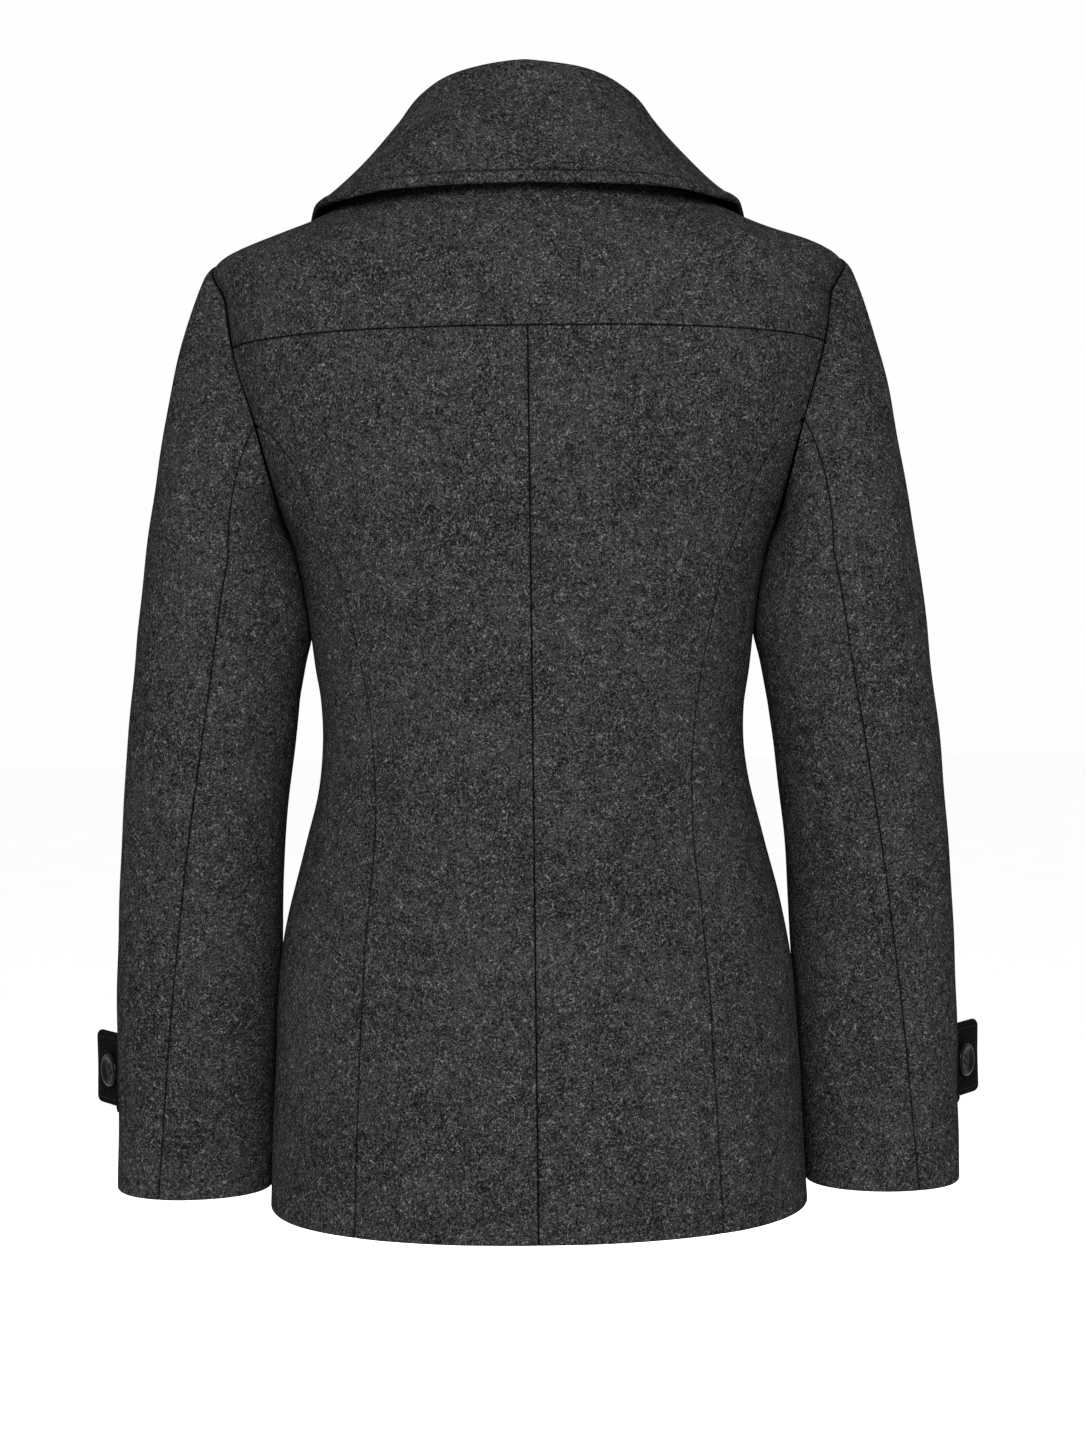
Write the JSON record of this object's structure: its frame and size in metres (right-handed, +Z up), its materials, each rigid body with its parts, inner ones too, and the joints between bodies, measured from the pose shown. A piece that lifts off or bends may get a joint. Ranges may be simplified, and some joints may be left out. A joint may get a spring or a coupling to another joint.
{
  "type": "pea coat",
  "caption": "Hip-length double-breasted pea coat with wide collar, peaked lapels, yoked back with princess seams, two-piece sleeves and buttoned cuff tabs, filled out as worn",
  "frame": {"origin": "the middle of the line between the two side-neck points, where the shoulders hold the coat", "axes": "+Z up along the coat's height; +X towards the wearer's left; the wearer faces -Y and the back is at +Y"},
  "size_m": [0.617, 0.2986, 0.7496],
  "materials": {
    "melton": "matt charcoal heather wool melton with short pale fibres",
    "tab_cloth": "the same melton, pressed and a little darker",
    "horn": "polished near-black horn"
  },
  "bodies": {
    "root": {"back_yoke": "melton", "back_left": "melton", "back_right": "melton", "side_back_left": "melton", "side_back_right": "melton", "side_front_left": "melton", "side_front_right": "melton", "front_left": "melton", "front_right": "melton", "lapel_left": "melton", "lapel_right": "melton", "collar_stand": "melton", "collar": "melton", "top_sleeve_left": "melton", "top_sleeve_right": "melton", "under_sleeve_left": "melton", "under_sleeve_right": "melton", "cuff_tab_left": "tab_cloth", "cuff_tab_right": "tab_cloth", "cuff_button_left": "horn", "cuff_button_right": "horn", "front_button_1": "horn", "front_button_2": "horn", "front_button_3": "horn", "front_button_4": "horn", "front_button_5": "horn", "front_button_6": "horn"}
  },
  "joints": []
}
